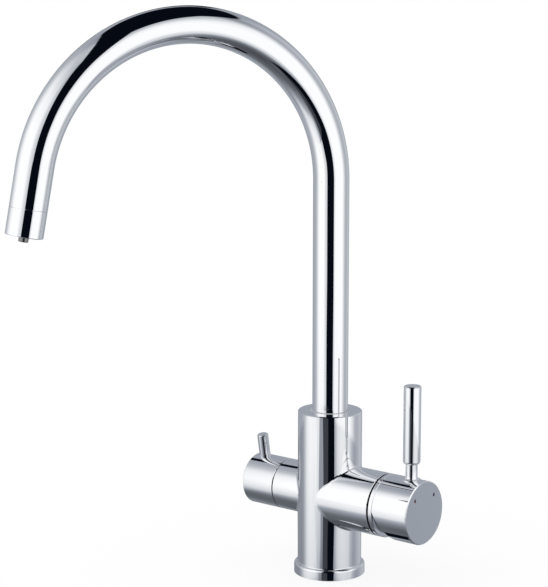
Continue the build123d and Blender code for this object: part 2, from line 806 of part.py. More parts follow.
with BuildPart() as lever_cap:
    with BuildSketch(branch_section):
        with BuildLine():
            hollow_rim = math.sqrt(hollow_radius**2 - (cap_rear - pivot_x) ** 2)
            hollow_floor = pivot_x + math.sqrt(hollow_radius**2 - cap_boss**2)
            Polyline(
                (cap_rear, hollow_rim),
                (cap_rear, mixer_radius),
                (cap_face - cap_edge, mixer_radius),
                (cap_face, mixer_radius - cap_edge),
                (cap_face, 0),
                (cap_boss_start, 0),
                (cap_boss_start, cap_boss),
                (hollow_floor, cap_boss),
            )
            RadiusArc((hollow_floor, cap_boss), (cap_rear, hollow_rim), -hollow_radius)
        make_face()
    revolve(axis=branch_axis)
    # The rear rim is cut back below, which is what lets the lever lift
    with BuildSketch(branch_section):
        with BuildLine():
            wedge_depth = mixer_radius + cap_wedge_start
            wedge_reach = wedge_depth * math.tan(math.radians(lever_lift + cap_wedge_margin))
            Polyline(
                (cap_rear, cap_wedge_start),
                (cap_rear - overcut, cap_wedge_start),
                (cap_rear - overcut, cap_wedge_start - wedge_depth),
                (cap_rear + wedge_reach, cap_wedge_start - wedge_depth),
                close=True,
            )
        make_face()
    extrude(amount=mixer_radius + overcut, both=True, mode=Mode.SUBTRACT)
    with BuildSketch(mixer_plane(cap_boss_start)):
        Rectangle(spindle_square + 2 * fixed_fit, spindle_square + 2 * fixed_fit)
    extrude(amount=spindle_tip + loose - cap_boss_start, mode=Mode.SUBTRACT)
    with BuildSketch(lever_plane(mixer_radius)):
        Circle(neck_thread / 2 + fixed_fit)
    extrude(amount=-neck_thread_depth, mode=Mode.SUBTRACT)
    with BuildSketch(under_cap):
        Circle(grub_thread / 2 + fixed_fit)
    extrude(amount=mixer_radius, mode=Mode.SUBTRACT)
    with BuildSketch(under_cap.offset(mixer_radius)):
        Circle(plug_diameter / 2 + fixed_fit)
    extrude(amount=-plug_height - plug_recess, mode=Mode.SUBTRACT)
    with BuildSketch(mixer_plane(cap_face)):
        with Locations(*mark_locations()):
            add(water_drop.sketch)
    extrude(amount=-mark_depth, mode=Mode.SUBTRACT)
finish(lever_cap, "lever_cap")

neck_radius_out = neck_diameter / 2
flare_radius = neck_radius_out + neck_flare
flare_top = mixer_radius + neck_flare
grip_seat = mixer_radius + neck_height
grip_start = branch_height + grip_seat
grip_end = grip_start + grip_length
with BuildPart() as lever_neck:
    with BuildSketch(Plane(origin=(lever_x, 0, branch_height), x_dir=(1, 0, 0), z_dir=(0, -1, 0))):
        with BuildLine():
            Polyline(
                (neck_radius_out, flare_top),
                (neck_radius_out, grip_seat),
                (neck_thread / 2, grip_seat),
                (neck_thread / 2, grip_seat + grip_thread_depth),
                (0, grip_seat + grip_thread_depth),
                (0, mixer_radius - neck_flare),
                (flare_radius, mixer_radius - neck_flare),
                (flare_radius, mixer_radius),
            )
            RadiusArc((flare_radius, mixer_radius), (neck_radius_out, flare_top), neck_flare)
        make_face()
    revolve(axis=Axis((lever_x, 0, branch_height), (0, 0, 1)))
    # The foot is saddled to the round cap, then the thread goes on into it
    with BuildSketch(mixer_plane(cap_rear)):
        Circle(mixer_radius + fixed_fit)
    extrude(amount=cap_face + overcut - cap_rear, mode=Mode.SUBTRACT)
    with BuildSketch(lever_plane(mixer_radius + neck_flare)):
        Circle(neck_thread / 2)
    extrude(amount=loose - neck_thread_depth - neck_flare)
finish(lever_neck, "lever_neck")

with BuildPart() as lever_grip:
    with BuildSketch(deck_plane(grip_start)):
        with Locations((lever_x, 0)):
            Circle(grip_diameter / 2)
    extrude(amount=grip_end - grip_start)
    chamfer(lever_grip.edges().group_by(Axis.Z)[-1], length=grip_edge)
    fillet(lever_grip.edges().group_by(Axis.Z)[0], radius=grip_foot_round)
    with BuildSketch(deck_plane(grip_start)):
        with Locations((lever_x, 0)):
            Circle(neck_thread / 2 + fixed_fit)
    extrude(amount=grip_thread_depth + loose, mode=Mode.SUBTRACT)
finish(lever_grip, "lever_grip")

with BuildPart() as cap_grub_screw:
    with BuildSketch(under_cap.offset(grub_seat)):
        Circle(grub_thread / 2)
    extrude(amount=grub_length)
    with BuildSketch(under_cap.offset(grub_seat + grub_length)):
        RegularPolygon(grub_thread / 4, 6, major_radius=False)
    extrude(amount=-hex_socket_depth, mode=Mode.SUBTRACT)
finish(cap_grub_screw, "cap_grub_screw")

with BuildPart() as grub_plug:
    with BuildSketch(under_cap.offset(mixer_radius - plug_recess)):
        Circle(plug_diameter / 2)
    extrude(amount=-plug_height)
finish(grub_plug, "grub_plug")

for name, place in zip(("hot_mark", "cold_mark"), mark_locations()):
    with BuildPart() as mark:
        with BuildSketch(mixer_plane(cap_face - mark_depth)):
            with Locations(place):
                add(water_drop.sketch)
        extrude(amount=mark_depth - fixed_fit)
    finish(mark, name)

# ---- Filtered water valve: a quarter turn headwork with two ceramic discs ----------------------------
nose_radius = headwork_thread / 2 - headwork_nose_step
disc_pocket = valve_disc_diameter / 2
fixed_valve_disc = headwork_seat + valve_disc_recess
moving_valve_disc = fixed_valve_disc + valve_disc_height + flat_gap
stem_foot = moving_valve_disc + valve_disc_height + flat_gap
stem_shoulder = stem_foot + valve_foot_height
nose_start = headwork_seat + valve_seal

with BuildPart() as headwork:
    with BuildSketch(filter_plane(nose_start)):
        Circle(nose_radius)
    extrude(amount=headwork_nose_end - nose_start)
    with BuildSketch(filter_plane(headwork_nose_end)):
        Circle(headwork_thread / 2)
    extrude(amount=headwork_hex_start - headwork_nose_end)
    with BuildSketch(filter_plane(headwork_hex_start)):
        RegularPolygon(headwork_hex / 2, 6, major_radius=False)
    extrude(amount=headwork_hex_end - headwork_hex_start)
    with BuildSketch(filter_plane(headwork_hex_end)):
        Circle(headwork_neck / 2)
    extrude(amount=headwork_end - headwork_hex_end)
    with BuildSketch(filter_plane(nose_start)):
        Circle(disc_pocket)
    extrude(amount=stem_shoulder + loose - nose_start, mode=Mode.SUBTRACT)
    with BuildSketch(filter_plane(nose_start)):
        Circle(valve_spindle / 2 + running)
    extrude(amount=headwork_end - nose_start, mode=Mode.SUBTRACT)
    # Two windows let the water out of the nose beyond the discs
    window_x = -stem_foot - headwork_window_width / 2
    with BuildSketch(Plane(origin=(window_x, 0, branch_height), z_dir=(0, 0, 1))):
        SlotOverall(headwork_window_length, headwork_window_width)
    extrude(amount=nose_radius + overcut, both=True, mode=Mode.SUBTRACT)
finish(headwork, "headwork")

with BuildPart() as headwork_seal:
    with BuildSketch(filter_plane(headwork_seat)):
        Circle(nose_radius)
        Circle(disc_pocket + fixed_fit, mode=Mode.SUBTRACT)
    extrude(amount=valve_seal)
finish(headwork_seal, "headwork_seal")

with BuildPart() as valve_fixed_disc:
    with BuildSketch(filter_plane(fixed_valve_disc)):
        Circle(disc_pocket - fixed_fit)
        with PolarLocations(valve_port_circle, 2):
            Circle(valve_port_diameter / 2, mode=Mode.SUBTRACT)
    extrude(amount=valve_disc_height)
finish(valve_fixed_disc, "valve_fixed_disc")

# The knob stands turned towards the user by knob_turn, with its finger pin along knob_up
knob_up = Vector(0, -math.sin(math.radians(knob_turn)), math.cos(math.radians(knob_turn)))
pin_plane = Plane(origin=(-pin_x, 0, branch_height), x_dir=(1, 0, 0), z_dir=knob_up)


def knob_plane(x):
    """A plane across the filter branch that is turned with the knob: its own Y points along the pin."""
    return Plane(origin=(-x, 0, branch_height), x_dir=knob_up.cross(Vector(-1, 0, 0)), z_dir=(-1, 0, 0))


with BuildPart() as valve_moving_disc:
    with BuildSketch(knob_plane(moving_valve_disc)):
        Circle(disc_pocket - running)
        with PolarLocations(valve_port_circle, 2, start_angle=90):
            Circle(valve_port_diameter / 2, mode=Mode.SUBTRACT)
    extrude(amount=valve_disc_height)
finish(valve_moving_disc, "valve_moving_disc")

with BuildPart() as valve_stem:
    with BuildSketch(knob_plane(stem_foot)):
        Circle(disc_pocket - running)
        Rectangle(valve_foot_slot, valve_disc_diameter, mode=Mode.SUBTRACT)
    extrude(amount=valve_foot_height)
    with BuildSketch(knob_plane(stem_shoulder)):
        Circle(disc_pocket - running)
    extrude(amount=-valve_foot_web)
    with BuildSketch(knob_plane(stem_shoulder)):
        Circle(valve_spindle / 2)
    extrude(amount=knob_socket_end - loose - stem_shoulder)
finish(valve_stem, "valve_stem")

with BuildPart() as filter_knob:
    with BuildSketch(knob_plane(knob_rear)):
        Circle(filter_radius)
    extrude(amount=knob_end - knob_rear)
    chamfer(end_rim(filter_knob, (-1, 0, 0)), length=knob_edge)
    chamfer(end_rim(filter_knob, (1, 0, 0)), length=seam_edge)
    with BuildSketch(knob_plane(knob_rear)):
        Circle(knob_bore / 2)
    extrude(amount=knob_bore_end - knob_rear, mode=Mode.SUBTRACT)
    with BuildSketch(knob_plane(knob_bore_end)):
        Circle(valve_spindle / 2 + fixed_fit)
    extrude(amount=knob_socket_end - knob_bore_end, mode=Mode.SUBTRACT)
    with BuildSketch(pin_plane):
        Circle(pin_thread / 2 + fixed_fit)
    extrude(amount=filter_radius + overcut, mode=Mode.SUBTRACT)
    with BuildSketch(pin_plane):
        Circle(knob_grub_thread / 2 + fixed_fit)
    extrude(amount=-filter_radius - overcut, mode=Mode.SUBTRACT)
finish(filter_knob, "filter_knob")

pin_foot = filter_radius - pin_diameter / 2
pin_thread_end = valve_spindle / 2 + pin_thread_gap
with BuildPart() as filter_pin:
    with BuildSketch(pin_plane.offset(pin_foot)):
        Circle(pin_diameter / 2)
    extrude(amount=pin_reach - pin_foot)
    chamfer(end_rim(filter_pin, knob_up), length=pin_edge)
    # The foot is saddled to the round knob, then the thread goes on into it
    with BuildSketch(knob_plane(knob_rear)):
        Circle(filter_radius + fixed_fit)
    extrude(amount=knob_end - knob_rear, mode=Mode.SUBTRACT)
    with BuildSketch(pin_plane.offset(pin_thread_end)):
        Circle(pin_thread / 2)
    extrude(amount=filter_radius + pin_edge - pin_thread_end)
finish(filter_pin, "filter_pin")

knob_grub_tip = valve_spindle / 2 + flat_gap
with BuildPart() as knob_grub_screw:
    with BuildSketch(pin_plane.offset(-knob_grub_tip)):
        Circle(knob_grub_thread / 2)
    extrude(amount=-knob_grub_length)
    with BuildSketch(pin_plane.offset(-knob_grub_tip - knob_grub_length)):
        RegularPolygon(knob_grub_thread / 4, 6, major_radius=False)
    extrude(amount=hex_socket_depth, mode=Mode.SUBTRACT)
finish(knob_grub_screw, "knob_grub_screw")
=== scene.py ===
import math

import bmesh
import bpy
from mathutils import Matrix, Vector


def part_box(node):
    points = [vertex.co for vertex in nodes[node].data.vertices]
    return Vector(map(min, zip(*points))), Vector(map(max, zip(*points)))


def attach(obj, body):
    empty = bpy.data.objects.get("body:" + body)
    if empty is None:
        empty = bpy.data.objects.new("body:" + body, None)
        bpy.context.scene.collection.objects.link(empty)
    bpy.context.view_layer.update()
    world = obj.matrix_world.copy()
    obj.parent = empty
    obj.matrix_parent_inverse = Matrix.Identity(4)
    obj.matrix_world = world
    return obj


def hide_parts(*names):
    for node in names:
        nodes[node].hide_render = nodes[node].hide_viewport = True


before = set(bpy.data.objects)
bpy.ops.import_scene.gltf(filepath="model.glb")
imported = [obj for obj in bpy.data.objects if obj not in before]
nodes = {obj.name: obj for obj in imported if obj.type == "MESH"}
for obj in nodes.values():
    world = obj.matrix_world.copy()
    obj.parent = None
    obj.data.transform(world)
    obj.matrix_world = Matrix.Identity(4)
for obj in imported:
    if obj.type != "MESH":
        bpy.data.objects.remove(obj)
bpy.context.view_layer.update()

bpy.ops.object.select_all(action="DESELECT")

# ---- Camera --------------------------------------------------------------------------------------
# It stands where the photograph was taken from, to the right of the user and above the lever. Its
# long lens keeps the spout's upright straight.
scene = bpy.context.scene
scene.view_settings.view_transform = "Standard"

camera_place = Vector((0.83927, -1.08772, 0.44684))
camera_aim = Vector((-0.03042, -0.02489, 0.19981))
camera = bpy.data.objects.new("camera", bpy.data.cameras.new("camera"))
scene.collection.objects.link(camera)
camera.location = camera_place
camera.rotation_euler = (camera_aim - camera_place).to_track_quat("-Z", "Y").to_euler()
camera.data.sensor_width = 36.0
camera.data.lens = 123.43
scene.camera = camera

# ---- Light tent ----------------------------------------------------------------------------------
# A tent round the tap that only polished faces mirror. It has two tall white softboxes with a dark
# gap between them where the camera is, a dark ceiling over them and a dim floor under them. Behind
# the tap hang a dark rail and, low down, a dark board with a bright edge.


def bare_material(name):
    """A new material without any nodes."""
    made = bpy.data.materials.new(name)
    made.use_nodes = True
    made.node_tree.nodes.clear()
    return made


def shader_node(owner, kind, inputs=(), **settings):
    """Adds a node to a material or the world, with inputs set or linked by their name or number."""
    tree = owner.node_tree
    made = tree.nodes.new(kind)
    for key, value in settings.items():
        setattr(made, key, value)
    for key, value in dict(inputs).items():
        if isinstance(value, bpy.types.NodeSocket):
            tree.links.new(value, made.inputs[key])
        else:
            made.inputs[key].default_value = value
    return made


def reckoned(owner, operation, *terms):
    """The result of one Math node on one, two or three numbers or sockets."""
    return shader_node(owner, "ShaderNodeMath", enumerate(terms), operation=operation).outputs[0]


def product(owner, first, *others):
    """All the terms multiplied."""
    for other in others:
        first = reckoned(owner, "MULTIPLY", first, other)
    return first


def rest_of(owner, share):
    """What a share leaves of 1."""
    return reckoned(owner, "SUBTRACT", 1.0, share)


def soft_step(owner, value, low, high):
    """0 below low and 1 above high, with a smooth rise between; a fall where low is the higher."""
    rise = shader_node(
        owner,
        "ShaderNodeMapRange",
        {"Value": value, "From Min": min(low, high), "From Max": max(low, high)},
        interpolation_type="SMOOTHSTEP",
    ).outputs["Result"]
    return rise if high > low else rest_of(owner, rise)


def between(owner, value, low, high, softness):
    """1 from low to high and 0 outside them, with soft ends of that half width."""
    enters = soft_step(owner, value, low - softness, low + softness)
    leaves = soft_step(owner, value, high + softness, high - softness)
    return product(owner, enters, leaves)


def levels(owner, value, low, high, stops):
    """A grey level that runs straight from stop to stop, for a value between low and high."""
    share = shader_node(
        owner, "ShaderNodeMapRange", {"Value": value, "From Min": low, "From Max": high}
    ).outputs["Result"]
    ramp = shader_node(owner, "ShaderNodeValToRGB", {"Fac": share})
    elements = ramp.color_ramp.elements
    while len(elements) < len(stops):
        elements.new(0.5)
    for element, (at, level) in zip(elements, stops):
        element.position = (at - low) / (high - low)
        element.color = (level, level, level, 1)
    return ramp.outputs["Color"]


def bearing(owner, across, along):
    """The angle between two lengths, in degrees."""
    return product(owner, reckoned(owner, "ARCTAN2", across, along), math.degrees(1))


tent_centre = (0.088, -0.186, 0.200)
tent_radius = 0.55
tent_strength = 1.12
camera_bearing = math.radians(39.3)
full_circle = (-180, 180)
floor_to_top = (-90, 90)
bpy.ops.mesh.primitive_uv_sphere_add(
    segments=96, ring_count=48, radius=tent_radius, location=tent_centre
)
tent = bpy.context.object
tent.name = "light_tent"
bpy.ops.object.transform_apply(location=True, rotation=True, scale=True)

# Places on the tent are in degrees: azimuth to the right of the camera, behind to the left of the
# point straight behind the tap, and elevation above the middle of the tent
tent_light = bare_material("tent_light")
turned = shader_node(
    tent_light,
    "ShaderNodeMapping",
    {
        "Vector": shader_node(tent_light, "ShaderNodeTexCoord").outputs["Object"],
        "Location": tent_centre,
        "Rotation": (0, 0, camera_bearing),
    },
    vector_type="TEXTURE",
).outputs["Vector"]
to_right, to_back, to_top = shader_node(tent_light, "ShaderNodeSeparateXYZ", {0: turned}).outputs
azimuth = bearing(tent_light, to_right, product(tent_light, to_back, -1.0))
behind = bearing(tent_light, product(tent_light, to_right, -1.0), to_back)
height = reckoned(tent_light, "DIVIDE", to_top, tent_radius)
elevation = product(tent_light, reckoned(tent_light, "ARCSINE", height), math.degrees(1))

# The two softboxes fade to the back, and low down they fade to the front as well. The edge between
# high and low dips towards the camera
around_high = levels(
    tent_light, azimuth, *full_circle,
    [
        (-180, 0.33), (-142, 0.38), (-125, 0.52), (-110, 0.84), (-97, 1.00), (-58, 0.98),
        (-46, 0.74), (-26, 0.56), (24, 0.44), (28, 0.62), (34, 0.82), (43, 0.97), (95, 0.98),
        (107, 0.74), (118, 0.46), (128, 0.41), (145, 0.52), (160, 0.36), (180, 0.33),
    ],
)
around_low = levels(
    tent_light, azimuth, *full_circle,
    [
        (-180, 0.28), (-152, 0.28), (-146, 0.27), (-133, 0.35), (-122, 0.62), (-112, 0.86),
        (-96, 0.96), (-68, 0.94), (-56, 0.80), (-49, 0.62), (-43, 0.33), (-24, 0.34), (24, 0.42),
        (31, 0.48), (40, 0.74), (54, 0.84), (68, 0.86), (96, 0.74), (104, 0.50), (117, 0.34),
        (126, 0.38), (148, 0.53), (164, 0.34), (180, 0.28),
    ],
)
low_edge = (-22.8, -23.7)
low_edge_dip = 3.4
lean = reckoned(
    tent_light,
    "MULTIPLY_ADD",
    reckoned(tent_light, "COSINE", reckoned(tent_light, "RADIANS", azimuth)),
    low_edge_dip,
    elevation,
)
low_down = soft_step(tent_light, lean, *low_edge)
around = shader_node(
    tent_light,
    "ShaderNodeMapRange",
    {"Value": low_down, "To Min": around_high, "To Max": around_low},
).outputs["Result"]

# Their light dims upwards and ends above the floor, and the ceiling cuts them off. Its edge comes
# lower towards the back, and is given in shares of the way up to the top
upward = levels(
    tent_light, elevation, *floor_to_top,
    [
        (-90, 0.0), (-62, 0.02), (-54, 0.20), (-46, 0.44), (-40, 0.76), (-28, 0.93), (-12, 1.0),
        (30, 1.0), (45, 0.90), (54, 0.68), (62, 0.50), (90, 0.45),
    ],
)
ceiling_share = levels(
    tent_light, azimuth, *full_circle,
    [
        (-180, 0.50), (-152, 0.53), (-141, 0.575), (-130, 0.665), (-117, 0.725), (-99, 0.77),
        (-80, 0.782), (-60, 0.77), (-50, 0.75), (-38, 0.72), (40, 0.72), (95, 0.72), (120, 0.67),
        (150, 0.58), (180, 0.50),
    ],
)
ceiling_softness = 1.0
ceiling_edge = product(tent_light, ceiling_share, floor_to_top[1])
room_above = reckoned(tent_light, "SUBTRACT", ceiling_edge, elevation)
under_ceiling = soft_step(tent_light, room_above, -ceiling_softness, ceiling_softness)
softboxes = product(tent_light, around, upward, under_ceiling)

# The dark gap between the softboxes widens on its way up. A ramp stops at 1, so its edges are given
# in hundreds of degrees to the left and to the right
gap_left = levels(
    tent_light, elevation, *floor_to_top,
    [
        (-90, 0.325), (-18, 0.325), (-12, 0.29), (13, 0.315), (17, 0.262), (34, 0.255), (44, 0.28),
        (52, 0.315), (58, 0.36), (64, 0.40), (70, 0.44), (90, 0.44),
    ],
)
gap_right = levels(
    tent_light, elevation, *floor_to_top,
    [
        (-90, 0.25), (-20, 0.25), (-13, 0.275), (8, 0.272), (20, 0.252), (34, 0.263), (45, 0.298),
        (60, 0.325), (90, 0.36),
    ],
)
gap_unit = 100.0
left_softness = 0.8
right_softness = 0.5
past_left = reckoned(tent_light, "SUBTRACT", azimuth, product(tent_light, gap_left, -gap_unit))
before_right = reckoned(tent_light, "SUBTRACT", product(tent_light, gap_right, gap_unit), azimuth)
gap = product(
    tent_light,
    soft_step(tent_light, past_left, -left_softness, left_softness),
    soft_step(tent_light, before_right, -right_softness, right_softness),
)
open_light = product(tent_light, softboxes, rest_of(tent_light, gap))

# Low down, the gap's left part is a very dark grey
grey_corner_edge = (-4, -8)
grey_corner_light = 0.045
grey_corner = soft_step(tent_light, azimuth, *grey_corner_edge)
gap_light = product(tent_light, gap, low_down, grey_corner, grey_corner_light)

# The dim floor stays dark at the foot of the gap
gap_foot_edge = (-76, -64)
floor_light = levels(
    tent_light, elevation, *floor_to_top,
    [(-90, 0.065), (-80, 0.072), (-70, 0.085), (-60, 0.10), (-47, 0.0), (90, 0.0)],
)
gap_foot = product(tent_light, gap, soft_step(tent_light, elevation, *gap_foot_edge))
floor_glow = product(tent_light, floor_light, rest_of(tent_light, gap_foot))

# What hangs behind the tap: each reaches from one angle to another, with that softness at its ends
rail_slope = 0.6
rail_up = (31.0, 43.0, 0.6)
rail_across = (-1, 27, 1.5)
rail_height = reckoned(tent_light, "MULTIPLY_ADD", behind, rail_slope, elevation)
rail = product(
    tent_light,
    between(tent_light, rail_height, *rail_up),
    between(tent_light, behind, *rail_across),
)
board_up = (-62, -46, 1)
board_across = (-3, 13, 1)
board = product(
    tent_light,
    between(tent_light, elevation, *board_up),
    between(tent_light, behind, *board_across),
)
board_edge_up = (-50, -36, 2)
board_edge_across = (-8, -3, 1)
board_edge_light = 0.22
board_edge = product(
    tent_light,
    between(tent_light, elevation, *board_edge_up),
    between(tent_light, behind, *board_edge_across),
    board_edge_light,
)

# All of it together, tinted from a cold black through a bluish grey to white
darkest = 0.002
grey_at = 0.35
black = (0.0, 0.001, 0.004)
bluish_grey = (0.325, 0.350, 0.395)
white = (0.985, 0.99, 1.0)
low_light = reckoned(tent_light, "ADD", floor_glow, board_edge)
all_light = reckoned(tent_light, "ADD", open_light, low_light)
left_open = rest_of(tent_light, reckoned(tent_light, "MAXIMUM", rail, board))
least_light = reckoned(tent_light, "ADD", gap_light, darkest)
level = reckoned(tent_light, "MULTIPLY_ADD", all_light, left_open, least_light)
tint = shader_node(tent_light, "ShaderNodeValToRGB", {"Fac": level})
tint.color_ramp.elements.new(grey_at)
for element, colour in zip(tint.color_ramp.elements, (black, bluish_grey, white)):
    element.color = (*colour, 1)
glow = shader_node(
    tent_light, "ShaderNodeEmission", {"Color": tint.outputs["Color"], "Strength": tent_strength}
)
shader_node(tent_light, "ShaderNodeOutputMaterial", {"Surface": glow.outputs[0]})
tent.data.materials.append(tent_light)
tent.visible_camera = False
tent.visible_diffuse = False
tent.visible_shadow = False
tent.visible_volume_scatter = False

# ---- Floor, room and lamp ------------------------------------------------------------------------
# A white sweep under the tap keeps its soft shadow and fades into a white room, which mirrors and
# clear things show as white too. One soft lamp hangs high on the left.
floor_radius = 3.0
floor_drop = 0.0004
floor_white = 0.97
shadow_reach = (0.03, 0.3)
glow_near_tap = 0.86
bpy.ops.mesh.primitive_circle_add(
    vertices=128, radius=floor_radius, fill_type="NGON", location=(0, 0, -floor_drop)
)
floor = bpy.context.object
floor.name = "floor"
bpy.ops.object.transform_apply(location=True, rotation=True, scale=True)
sweep_white = bare_material("sweep_white")
distance = shader_node(
    sweep_white,
    "ShaderNodeVectorMath",
    {0: shader_node(sweep_white, "ShaderNodeTexCoord").outputs["Object"]},
    operation="LENGTH",
).outputs["Value"]
matt = shader_node(
    sweep_white, "ShaderNodeBsdfDiffuse", {"Color": (floor_white, floor_white, floor_white, 1)}
)
far_white = shader_node(
    sweep_white, "ShaderNodeEmission", {"Color": (1, 1, 1, 1), "Strength": 1.0}
)
glow_share = reckoned(
    sweep_white,
    "MULTIPLY_ADD",
    soft_step(sweep_white, distance, *shadow_reach),
    1.0 - glow_near_tap,
    glow_near_tap,
)
blend = shader_node(
    sweep_white,
    "ShaderNodeMixShader",
    {0: glow_share, 1: matt.outputs[0], 2: far_white.outputs[0]},
)
shader_node(sweep_white, "ShaderNodeOutputMaterial", {"Surface": blend.outputs[0]})
floor.data.materials.append(sweep_white)
floor.visible_glossy = False
floor.visible_diffuse = False

room_light = 0.78
world = bpy.data.worlds.new("studio_world")
scene.world = world
world.use_nodes = True
paths = shader_node(world, "ShaderNodeLightPath").outputs
seen = reckoned(world, "MAXIMUM", paths["Is Camera Ray"], paths["Is Glossy Ray"])
seen = reckoned(world, "MAXIMUM", seen, paths["Is Transmission Ray"])
strength = shader_node(
    world, "ShaderNodeMapRange", {"Value": seen, "To Min": room_light, "To Max": 1.0}
).outputs["Result"]
background = world.node_tree.nodes["Background"]
background.inputs["Color"].default_value = (1, 1, 1, 1)
world.node_tree.links.new(strength, background.inputs["Strength"])

lamp_data = bpy.data.lights.new("soft_lamp", "AREA")
lamp_data.size = 1.4
lamp_data.energy = 13.0
lamp = bpy.data.objects.new("soft_lamp", lamp_data)
scene.collection.objects.link(lamp)
lamp.location = (-0.5, -1.1, 1.9)
lamp_aim = Vector((0, 0, 0.1))
lamp.rotation_euler = (lamp_aim - lamp.location).to_track_quat("-Z", "Y").to_euler()
lamp.visible_glossy = False

# ---- Body ----------------------------------------------------------------------------------------
# The upright barrel and its two branches are one brass forging, turned and bored, then polished and
# chrome plated all over. The foot ring and the rubber seal in it sit between barrel and deck.
grain_detail = 4.0
grain_roughness = 0.6
grain_range = (0.3, 0.7)
dent_strength = 0.6
coat_roughness = 0.05


def finish_of(name, colour, metallic, roughness, grain, bump=0.0, coat=0.0):
    """A finish whose roughness wanders between two values. Its grain and dents are in metres."""
    made = bare_material(name)
    place = shader_node(made, "ShaderNodeTexCoord").outputs["Object"]
    noise = shader_node(
        made,
        "ShaderNodeTexNoise",
        {
            "Vector": place,
            "Scale": 1 / grain,
            "Detail": grain_detail,
            "Roughness": grain_roughness,
        },
    ).outputs["Fac"]
    worn = shader_node(
        made,
        "ShaderNodeMapRange",
        {
            "Value": noise,
            "From Min": grain_range[0],
            "From Max": grain_range[1],
            "To Min": roughness[0],
            "To Max": roughness[1],
        },
    ).outputs["Result"]
    inputs = {
        "Base Color": (*colour, 1),
        "Metallic": metallic,
        "Roughness": worn,
        "Coat Weight": coat,
        "Coat Roughness": coat_roughness,
    }
    if bump:
        dents = {"Height": noise, "Strength": dent_strength, "Distance": bump}
        inputs["Normal"] = shader_node(made, "ShaderNodeBump", dents).outputs["Normal"]
    surface = shader_node(made, "ShaderNodeBsdfPrincipled", inputs)
    shader_node(made, "ShaderNodeOutputMaterial", {"Surface": surface.outputs[0]})
    return made


def wear_finish(material, *names):
    """Gives CAD nodes that finish in all their slots."""
    for name in names:
        for slot in nodes[name].material_slots:
            slot.material = material


weld = 0.000002
smooth_under = math.radians(12)


def plated_copy(node, name, body):
    """A CAD node's shape welded into one shell, so that its polish runs over its faces' joins."""
    piece = bpy.data.objects.new(name, nodes[node].data.copy())
    scene.collection.objects.link(piece)
    bpy.ops.object.select_all(action="DESELECT")
    piece.select_set(True)
    bpy.context.view_layer.objects.active = piece
    bpy.ops.mesh.customdata_custom_splitnormals_clear()
    bpy.ops.object.mode_set(mode="EDIT")
    bpy.ops.mesh.select_all(action="SELECT")
    bpy.ops.mesh.remove_doubles(threshold=weld)
    bpy.ops.object.mode_set(mode="OBJECT")
    bpy.ops.object.shade_smooth_by_angle(angle=smooth_under)
    piece.material_slots[0].material = chrome
    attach(piece, body)
    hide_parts(node)
    return piece


chrome = finish_of("chrome", (0.90, 0.905, 0.915), 1.0, (0.015, 0.045), 0.03)
plated_body = plated_copy("body_casting", "plated_body", "tap_body")

# The grinder leaves a narrow hollow curve in the corner where each branch leaves the barrel
barrel_radius = 0.0225
on_barrel_within = 0.0003
flat_under = math.radians(0.4)
corner_bend = math.radians(-14)
corner_depth = 0.0013
corner_facets = 4
bpy.ops.object.mode_set(mode="EDIT")
bpy.ops.mesh.dissolve_limited(angle_limit=flat_under)
bpy.ops.mesh.select_all(action="DESELECT")
casting = bmesh.from_edit_mesh(plated_body.data)
for edge in casting.edges:
    middle = (edge.verts[0].co + edge.verts[1].co) / 2
    on_barrel = abs(math.hypot(middle.x, middle.y) - barrel_radius) < on_barrel_within
    if on_barrel and edge.is_manifold and edge.calc_face_angle_signed() < corner_bend:
        edge.select_set(True)
bmesh.update_edit_mesh(plated_body.data)
bpy.ops.mesh.bevel(
    offset=corner_depth, segments=corner_facets, profile=0.5, affect="EDGES", clamp_overlap=False
)
bpy.ops.object.mode_set(mode="OBJECT")
bpy.ops.object.shade_smooth_by_angle(angle=smooth_under)

plated_copy("base_ring", "plated_foot_ring", "tap_body")
seal_rubber = finish_of(
    "seal_rubber", (0.022, 0.022, 0.023), 0.0, (0.55, 0.75), 0.0006, bump=0.00002
)
wear_finish(seal_rubber, "base_seal")

# ---- Spout ---------------------------------------------------------------------------------------
# One bent brass tube, polished and plated. It turns in the barrel on a brass ferrule with two
# rubber seals and a plastic wear ring, and a grub screw at the back of the barrel keeps it in.
spout_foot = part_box("spout_tube")[0].z
spout_rise = 0.279
spout_bend = 0.108
spout_sweep = math.radians(169.4)
spout_turn = math.radians(24.4)
spout_radius = 0.0125
spout_wall = 0.0012
tube_sides = 96
bend_steps = 144
tube_tail = 0.027
rim_edge = 0.00015
forward = Vector((-math.sin(spout_turn), -math.cos(spout_turn), 0))
spout_side = forward.cross(Vector((0, 0, 1)))
bend_centre = forward * spout_bend + Vector((0, 0, spout_rise))
tail_way = forward * math.sin(spout_sweep) + Vector((0, 0, math.cos(spout_sweep)))

# The tube is drawn up from its foot, bent round in one go, and run out straight
bpy.ops.object.select_all(action="DESELECT")
bpy.ops.mesh.primitive_circle_add(
    vertices=tube_sides, radius=spout_radius, location=(0, 0, spout_foot)
)
plated_spout = bpy.context.object
plated_spout.name = "plated_spout"
bpy.ops.object.transform_apply(location=True, rotation=True, scale=True)
bpy.ops.object.mode_set(mode="EDIT")
bpy.ops.mesh.extrude_region_move(TRANSFORM_OT_translate={"value": (0, 0, spout_rise - spout_foot)})
bpy.ops.mesh.spin(steps=bend_steps, angle=spout_sweep, center=bend_centre, axis=spout_side)
bpy.ops.mesh.extrude_region_move(TRANSFORM_OT_translate={"value": tail_way * tube_tail})
bpy.ops.mesh.select_all(action="SELECT")
bpy.ops.mesh.remove_doubles(threshold=weld)
bpy.ops.mesh.normals_make_consistent(inside=False)
bpy.ops.object.mode_set(mode="OBJECT")
wall = plated_spout.modifiers.new("wall", "SOLIDIFY")
wall.thickness = spout_wall
wall.offset = -1
bpy.ops.object.modifier_apply(modifier="wall")
rims = plated_spout.modifiers.new("rims", "BEVEL")
rims.width = rim_edge
rims.segments = 2
